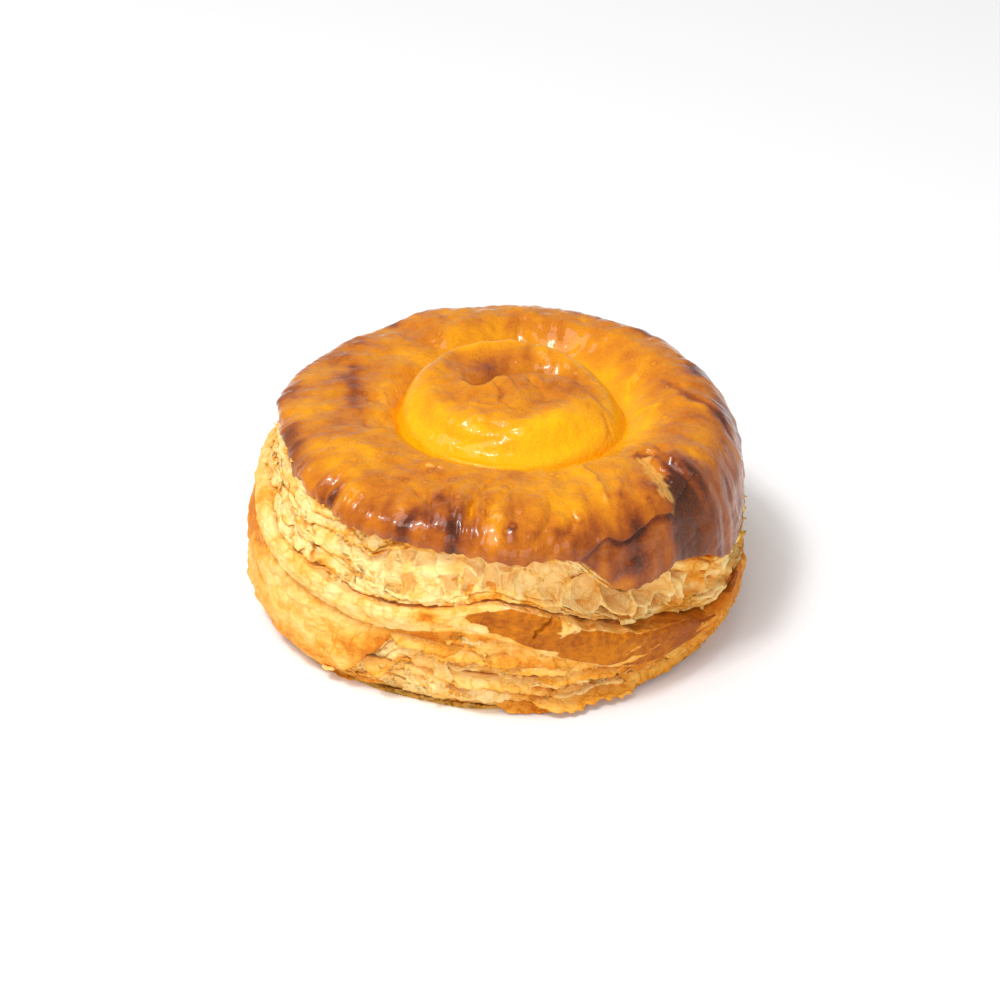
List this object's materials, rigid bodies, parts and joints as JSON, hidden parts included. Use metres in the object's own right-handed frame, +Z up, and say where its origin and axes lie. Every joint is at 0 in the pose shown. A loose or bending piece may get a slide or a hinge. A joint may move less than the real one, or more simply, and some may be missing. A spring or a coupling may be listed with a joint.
{
  "type": "round puff pastry",
  "caption": "Round closed puff pastry with a glossy egg-glazed lid, a raised ring around a coiled swirl, and flaky layered sides.",
  "frame": {"origin": "centre of the flat foot, on the surface the pastry stands on", "axes": "+Z up through the swirl in the middle of the lid; -Y is the front, where the glazed tongue bulges from the side; +X is the right, where the crust's lip hangs lowest"},
  "size_m": [0.1105, 0.1102, 0.0509],
  "materials": {
    "puff_pastry": "egg-glazed and baked: glossy amber to scorched brown lid, matt cream and golden layers on the side"
  },
  "bodies": {
    "root": {"puff_pastry": "puff_pastry"}
  },
  "joints": []
}
